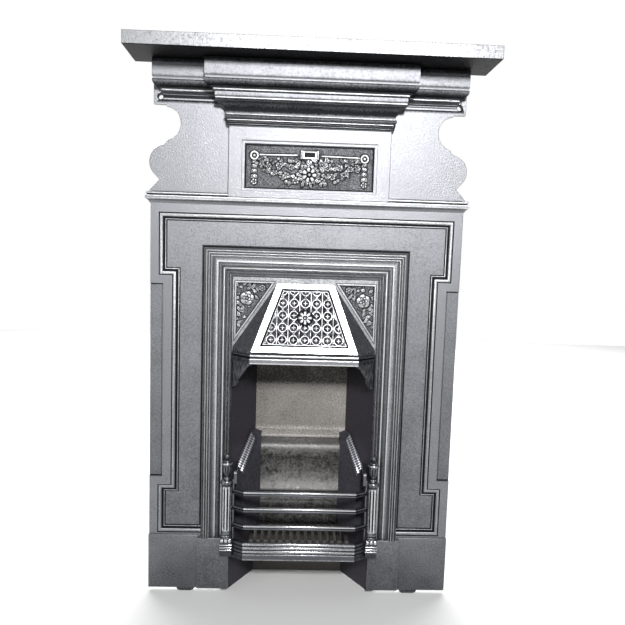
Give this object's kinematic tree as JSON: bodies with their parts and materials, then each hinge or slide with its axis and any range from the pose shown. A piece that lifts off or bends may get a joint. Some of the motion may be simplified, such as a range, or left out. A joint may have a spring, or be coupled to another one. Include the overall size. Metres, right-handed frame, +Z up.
{
  "type": "combination fireplace",
  "caption": "Cast iron fireplace in one set: moulded surround with shaped upper plate and shelf, canopy hood, splayed fire chamber and barred grate.",
  "frame": {"origin": "middle of the footprint's bounding box, on the ground", "axes": "+X to the viewer's right, +Y back towards the wall, +Z up"},
  "size_m": [0.84, 0.261, 1.3365],
  "materials": {
    "surround_iron": "graphite polished, sand cast grain",
    "shelf_iron": "graphite polished, mottled",
    "hood_iron": "polished border, dark relief ground",
    "chamber_iron": "dark, matt",
    "fireback_iron": "rough, dusty",
    "rough_iron": "pitted by fire",
    "side_iron": "ribbed, dull polish",
    "bar_iron": "polished on the edges",
    "burnt_iron": "burnt, dull"
  },
  "bodies": {
    "root": {"surround": "surround_iron", "mantel_shelf": "shelf_iron", "canopy_hood": "hood_iron", "cheek_left": "chamber_iron", "cheek_right": "chamber_iron", "back_plate": "fireback_iron", "back_brick": "rough_iron", "side_brick_left": "side_iron", "side_brick_right": "side_iron", "front_bars": "bar_iron", "bottom_grate": "burnt_iron"}
  },
  "joints": []
}
